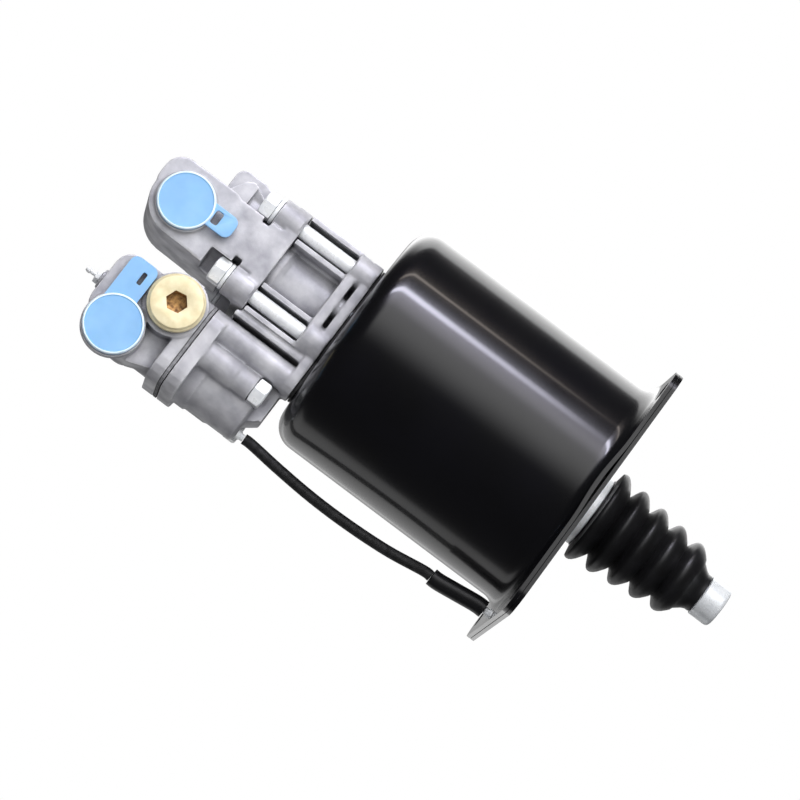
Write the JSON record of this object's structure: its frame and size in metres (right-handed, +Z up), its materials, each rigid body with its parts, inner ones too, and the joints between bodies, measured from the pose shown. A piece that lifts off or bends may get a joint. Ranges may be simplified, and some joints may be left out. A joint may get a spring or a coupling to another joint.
{
  "type": "clutch servo",
  "caption": "Air-assisted hydraulic clutch servo with a square flange, rubber boot, push rod and hanging control valve.",
  "frame": {"origin": "centre of the end cover's outer face, which is the flange's mounting face, on the push rod's axis", "axes": "+X along the push rod toward its tip, -Y toward the ports and the plug, +Z up, with the control valve hanging below the cylinder"},
  "size_m": [0.3563, 0.138, 0.1612],
  "materials": {
    "black_paint": "gloss",
    "cast_aluminium": "cast, matt",
    "zinc_plate": "bright zinc plate",
    "yellow_zinc": "yellow zinc plate",
    "plain_steel": "oiled steel",
    "brass": "turned",
    "black_rubber": "matt",
    "black_gasket": "flat gasket sheet",
    "blue_plastic": "moulded polyethylene",
    "guide_plastic": "moulded"
  },
  "bodies": {
    "housing": {"cylinder_shell": "black_paint", "end_cover": "black_paint", "boot_collar": "zinc_plate", "dust_boot": "black_rubber", "plunger_seal": "black_rubber", "preload_spring": "plain_steel", "shell_screw_1": "plain_steel", "shell_screw_2": "plain_steel", "shell_screw_3": "plain_steel", "shell_screw_4": "plain_steel", "base_gasket": "black_gasket", "main_housing": "cast_aluminium", "port_head": "cast_aluminium", "head_bolt_1": "zinc_plate", "head_bolt_2": "zinc_plate", "head_bolt_3": "zinc_plate", "head_bolt_4": "zinc_plate", "head_washer_1": "zinc_plate", "head_washer_2": "zinc_plate", "head_washer_3": "zinc_plate", "head_washer_4": "zinc_plate", "valve_gasket": "black_gasket", "valve_head": "cast_aluminium", "valve_bolt_1": "zinc_plate", "valve_bolt_2": "zinc_plate", "valve_bolt_3": "zinc_plate", "plug_seal": "brass", "screw_plug": "yellow_zinc", "upper_port_cap": "blue_plastic", "lower_port_cap": "blue_plastic", "bleeder_screw": "zinc_plate", "reaction_spring": "plain_steel", "inlet_spring": "plain_steel", "valve_nipple": "zinc_plate", "flange_nipple": "zinc_plate", "breather_hose": "black_rubber", "hose_sleeve": "black_rubber"},
    "piston": {"power_piston": "cast_aluminium", "piston_seal": "black_rubber", "piston_guide_ring": "guide_plastic", "hydraulic_plunger": "plain_steel", "push_rod": "zinc_plate"},
    "reaction": {"reaction_piston": "cast_aluminium", "reaction_seal": "black_rubber"},
    "inlet": {"inlet_valve": "brass"}
  },
  "joints": [
    {"name": "rod_slide", "type": "slide", "parent": "housing", "child": "piston", "axis": [1, 0, 0], "range_m": [-0.045, 0], "stiffness_N_per_m": 1500, "springref_m": 0.03, "deforming": ["dust_boot", "preload_spring"]},
    {"name": "reaction_slide", "type": "slide", "parent": "housing", "child": "reaction", "axis": [1, 0, 0], "range_m": [0, 0.0025], "stiffness_N_per_m": 900, "springref_m": -0.004, "deforming": ["reaction_spring"]},
    {"name": "inlet_slide", "type": "slide", "parent": "housing", "child": "inlet", "axis": [-1, 0, 0], "range_m": [0, 0.0015], "stiffness_N_per_m": 700, "springref_m": -0.004, "deforming": ["inlet_spring"]}
  ]
}
